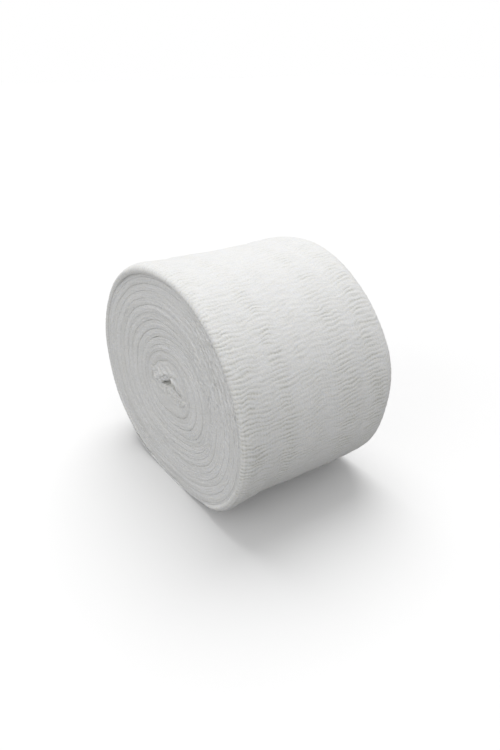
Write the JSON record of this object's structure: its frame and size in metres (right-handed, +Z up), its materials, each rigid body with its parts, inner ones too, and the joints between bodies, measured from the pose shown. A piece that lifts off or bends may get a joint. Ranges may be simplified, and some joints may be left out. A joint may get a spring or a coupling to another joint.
{
  "type": "gauze bandage roll",
  "caption": "Soft cotton gauze bandage wound into a slumped oval roll, lying on its side, for dressing and padding wounds.",
  "frame": {"origin": "under the middle of the roll, on the surface that it rests on", "axes": "+X along the roll's axis, away from the near end, and +Z up; the strip's width runs along X"},
  "size_m": [0.0748, 0.118, 0.0971],
  "materials": {
    "cotton_gauze": "matt open-weave cotton"
  },
  "bodies": {
    "root": {"bandage_roll": "cotton_gauze"}
  },
  "joints": []
}
